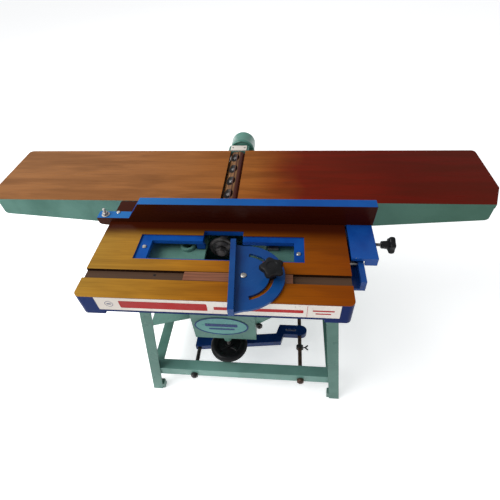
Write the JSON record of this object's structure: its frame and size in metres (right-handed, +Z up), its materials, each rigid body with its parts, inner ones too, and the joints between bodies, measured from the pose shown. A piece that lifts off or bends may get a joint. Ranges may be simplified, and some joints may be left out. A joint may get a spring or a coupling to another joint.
{
  "type": "combination planer and jointer",
  "caption": "Long two-table wood jointer on a splayed angle-iron stand, with a side saw table, sliding fence, mitre gauge and belt-driven cutter head.",
  "frame": {"origin": "on the floor, under the middle of the whole machine's plan box", "axes": "+X along the planer tables towards the infeed end, +Y away from the operator, +Z up"},
  "size_m": [1.8, 0.9326, 0.808],
  "materials": {
    "green_paint": "glossy grey-green enamel, slightly uneven",
    "blue_paint": "glossy blue enamel",
    "lacquered_iron": "machined iron under amber rust-proof lacquer",
    "bright_steel": "machined, lightly oiled",
    "dark_steel": "black-oxide and oily",
    "black_knob": "moulded black",
    "belt_rubber": "matt",
    "cream_paint": "satin off-white",
    "badge_enamel": "glossy enamel plate"
  },
  "bodies": {
    "stand": {"leg_front_left": "green_paint", "leg_front_right": "green_paint", "leg_rear_left": "green_paint", "leg_rear_right": "green_paint", "top_frame": "green_paint", "front_beam": "green_paint", "rear_beam": "green_paint", "side_rail_left": "green_paint", "side_rail_right": "green_paint", "rod_beam": "green_paint", "guide_rod_left": "dark_steel", "guide_rod_right": "dark_steel", "main_body": "green_paint", "screw_bracket": "green_paint", "chip_chute": "green_paint", "front_bearing": "green_paint", "rear_bearing": "green_paint", "rear_bearing_cap": "cream_paint", "pulley_guard": "green_paint", "motor": "green_paint", "motor_plate": "green_paint", "drive_belt": "belt_rubber"},
    "cutter": {"cutter_head": "bright_steel", "knife_1": "bright_steel", "knife_2": "bright_steel", "knife_3": "bright_steel", "gib_1": "dark_steel", "gib_2": "dark_steel", "gib_3": "dark_steel", "cutter_pulley": "dark_steel", "inner_flange": "dark_steel", "outer_flange": "dark_steel", "arbor_nut": "dark_steel"},
    "motor_rotor": {"motor_pulley": "dark_steel"},
    "infeed": {"infeed_table": "lacquered_iron"},
    "outfeed": {"outfeed_table": "lacquered_iron"},
    "infeed_lift": {"infeed_screw": "bright_steel", "infeed_handwheel": "black_knob"},
    "outfeed_lift": {"outfeed_screw": "bright_steel", "outfeed_handwheel": "black_knob"},
    "saw_carriage": {"saw_table": "lacquered_iron", "label_strip": "cream_paint", "knee": "green_paint", "badge_plate": "badge_enamel", "guide_rail": "blue_paint"},
    "saw_lift": {"elevating_screw": "bright_steel", "elevating_handwheel": "black_knob"},
    "fence_group": {"fence": "blue_paint", "fence_stud": "bright_steel", "fence_foot": "blue_paint"},
    "fence_clamp": {"clamp_screw": "bright_steel", "fence_knob": "black_knob"},
    "gauge_slide": {"gauge_bar": "bright_steel", "pivot_screw": "bright_steel", "gauge_stud": "bright_steel"},
    "gauge_protractor": {"gauge_head": "blue_paint"},
    "gauge_lock": {"gauge_knob": "black_knob"},
    "arm": {"cross_arm": "blue_paint"},
    "collar": {"stop_collar": "dark_steel"},
    "collar_screw": {"wing_screw": "dark_steel"}
  },
  "joints": [
    {"name": "motor_spin", "type": "hinge", "parent": "stand", "child": "motor_rotor", "pos_m": [-0.0085, 0.4143, 0.237], "axis": [0, 1, 0], "continuous": true},
    {"name": "cutter_spin", "type": "hinge", "parent": "stand", "child": "cutter", "pos_m": [-0.0085, 0.1593, 0.6975], "axis": [0, 1, 0], "continuous": true},
    {"name": "infeed_turn", "type": "hinge", "parent": "stand", "child": "infeed_lift", "pos_m": [0.322, 0.1593, 0.6015], "axis": [0.9781, 0, -0.2079], "range_deg": [0, 5705]},
    {"name": "infeed_height", "type": "slide", "parent": "stand", "child": "infeed", "axis": [0.9781, 0, -0.2079], "range_m": [0, 0.0475]},
    {"name": "outfeed_turn", "type": "hinge", "parent": "stand", "child": "outfeed_lift", "pos_m": [-0.254, 0.1593, 0.6015], "axis": [-0.9781, 0, -0.2079], "range_deg": [0, 2165]},
    {"name": "outfeed_height", "type": "slide", "parent": "stand", "child": "outfeed", "axis": [-0.9781, 0, -0.2079], "range_m": [0, 0.018]},
    {"name": "saw_lift_turn", "type": "hinge", "parent": "stand", "child": "saw_lift", "pos_m": [-0.028, -0.2377, 0.1825], "axis": [0, 0, 1], "range_deg": [-185, 5405]},
    {"name": "saw_height", "type": "slide", "parent": "stand", "child": "saw_carriage", "axis": [0, 0, 1], "range_m": [-0.002, 0.06]},
    {"name": "fence_slide", "type": "slide", "parent": "saw_carriage", "child": "fence_group", "axis": [0, 1, 0], "range_m": [-0.055, 0.068]},
    {"name": "fence_clamp_turn", "type": "hinge", "parent": "fence_group", "child": "fence_clamp", "pos_m": [0.4135, -0.1707, 0.707], "axis": [1, 0, 0], "range_deg": [-180, 180]},
    {"name": "gauge_travel", "type": "slide", "parent": "saw_carriage", "child": "gauge_slide", "axis": [1, 0, 0], "range_m": [-0.28, 0.15]},
    {"name": "gauge_swivel", "type": "hinge", "parent": "gauge_slide", "child": "gauge_protractor", "pos_m": [0.075, -0.3387, 0.735], "axis": [0, 0, 1], "range_deg": [-50, 45]},
    {"name": "gauge_lock_turn", "type": "hinge", "parent": "gauge_slide", "child": "gauge_lock", "pos_m": [0.153, -0.3387, 0.735], "axis": [0, 0, 1], "range_deg": [-180, 180]},
    {"name": "arm_slide", "type": "slide", "parent": "stand", "child": "arm", "axis": [0, 1, 0], "range_m": [-0.01, 0.08]},
    {"name": "collar_slide", "type": "slide", "parent": "stand", "child": "collar", "axis": [0, 1, 0], "range_m": [-0.07, 0.01]},
    {"name": "collar_screw_turn", "type": "hinge", "parent": "collar", "child": "collar_screw", "pos_m": [0.276, -0.1987, 0.118], "axis": [1, 0, 0], "range_deg": [-180, 180]}
  ],
  "couplings": [
    {"joint": "cutter_spin", "follows": "motor_spin", "ratio": 1.8293},
    {"joint": "infeed_turn", "follows": "infeed_height", "rad_per_m": 2094.4},
    {"joint": "outfeed_turn", "follows": "outfeed_height", "rad_per_m": 2094.4},
    {"joint": "saw_lift_turn", "follows": "saw_height", "rad_per_m": 1570.8}
  ]
}
